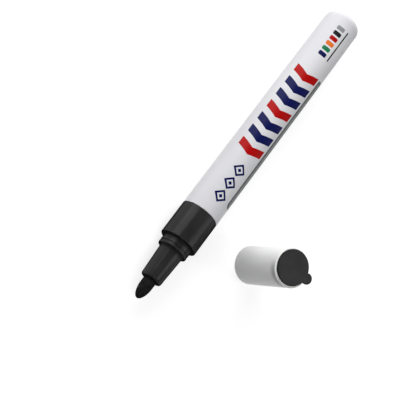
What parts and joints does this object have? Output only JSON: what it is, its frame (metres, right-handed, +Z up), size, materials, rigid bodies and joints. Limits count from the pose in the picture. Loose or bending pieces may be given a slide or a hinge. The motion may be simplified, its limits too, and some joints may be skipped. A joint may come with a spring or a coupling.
{
  "type": "paint marker",
  "caption": "Round valve-action paint marker with a white barrel, stepped black nose and bullet nib, and its cap with a tabbed end plug standing beside it.",
  "frame": {"origin": "on the pen's axis, in the collar's front face, where the cap stops", "axes": "+X along the pen towards the nib, +Z up from the surface that the pen lies on, cap on the +Y side"},
  "size_m": [0.1409, 0.0502, 0.0293],
  "materials": {
    "barrel": "satin white lacquer",
    "front_holder": "satin black moulding",
    "nib": "pressed fibre, black with paint",
    "valve_seat": "soft dark grey rubber",
    "valve_stem": "natural white moulding",
    "valve_spring": "drawn stainless wire",
    "valve_cage": "natural white moulding",
    "mixing_ball": "ground steel",
    "cap_shell": "smooth white moulding",
    "cap_liner": "soft natural moulding",
    "cap_end_plug": "satin black moulding"
  },
  "bodies": {
    "pen": {"barrel": "barrel", "front_holder": "front_holder", "valve_seat": "valve_seat", "valve_spring": "valve_spring", "valve_cage": "valve_cage"},
    "nib": {"nib": "nib"},
    "valve_stem": {"valve_stem": "valve_stem"},
    "mixing_ball": {"mixing_ball": "mixing_ball"},
    "cap": {"cap_shell": "cap_shell", "cap_liner": "cap_liner", "cap_end_plug": "cap_end_plug"}
  },
  "joints": [
    {"name": "nib_press", "type": "slide", "parent": "pen", "child": "nib", "axis": [-1, 0, 0], "range_m": [0, 0.002], "stiffness_N_per_m": 900, "springref_m": -0.0015},
    {"name": "valve_open", "type": "slide", "parent": "pen", "child": "valve_stem", "axis": [-1, 0, 0], "range_m": [0, 0.002], "deforming": ["valve_spring"]},
    {"name": "ball_roll", "type": "slide", "parent": "pen", "child": "mixing_ball", "axis": [1, 0, 0], "range_m": [-0.0797, 0]},
    {"name": "cap_lift", "type": "slide", "parent": "pen", "child": "cap", "axis": [0, 0, 1], "range_m": [0, 0.06]}
  ],
  "couplings": [
    {"joint": "valve_open", "follows": "nib_press", "ratio": 1}
  ]
}
